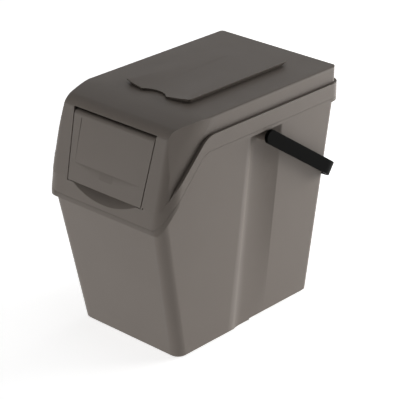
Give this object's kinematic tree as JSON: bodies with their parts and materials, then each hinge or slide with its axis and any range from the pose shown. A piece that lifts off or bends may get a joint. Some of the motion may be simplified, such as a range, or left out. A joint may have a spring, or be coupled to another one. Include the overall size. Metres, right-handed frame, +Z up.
{
  "type": "recycling bin",
  "caption": "Tapered moulded sorting bin with a stepped rim, a hooded lift-off lid, a hinged front flap, a stacking and pull plate on top and a swinging carrying bail.",
  "frame": {"origin": "on the floor under the middle of the closed bin's bounding box", "axes": "+Z up, -Y towards the front with the flap, +X to the right seen from the front"},
  "size_m": [0.2616, 0.392, 0.3835],
  "materials": {
    "body_plastic": "satin moulded polypropylene, warm grey",
    "lid_plastic": "satin moulded polypropylene, warm grey",
    "plate_plastic": "satin moulded polypropylene, warm grey",
    "flap_plastic": "satin moulded polypropylene, warm grey",
    "handle_plastic": "satin moulded polypropylene, black"
  },
  "bodies": {
    "bucket": {"bin_body": "body_plastic"},
    "cover": {"lid": "lid_plastic", "top_plate": "plate_plastic"},
    "flap": {"front_flap": "flap_plastic"},
    "bail": {"carry_handle": "handle_plastic"}
  },
  "joints": [
    {"name": "lid_lift", "type": "slide", "parent": "bucket", "child": "cover", "axis": [0, 0, 1], "range_m": [0, 0.18]},
    {"name": "flap_hinge", "type": "hinge", "parent": "cover", "child": "flap", "pos_m": [0, -0.1605, 0.34728], "axis": [-1, 0, 0], "range_deg": [0, 90]},
    {"name": "handle_swing", "type": "hinge", "parent": "bucket", "child": "bail", "pos_m": [0, 0.0248, 0.3126], "axis": [1, 0, 0], "range_deg": [0, 190]}
  ]
}
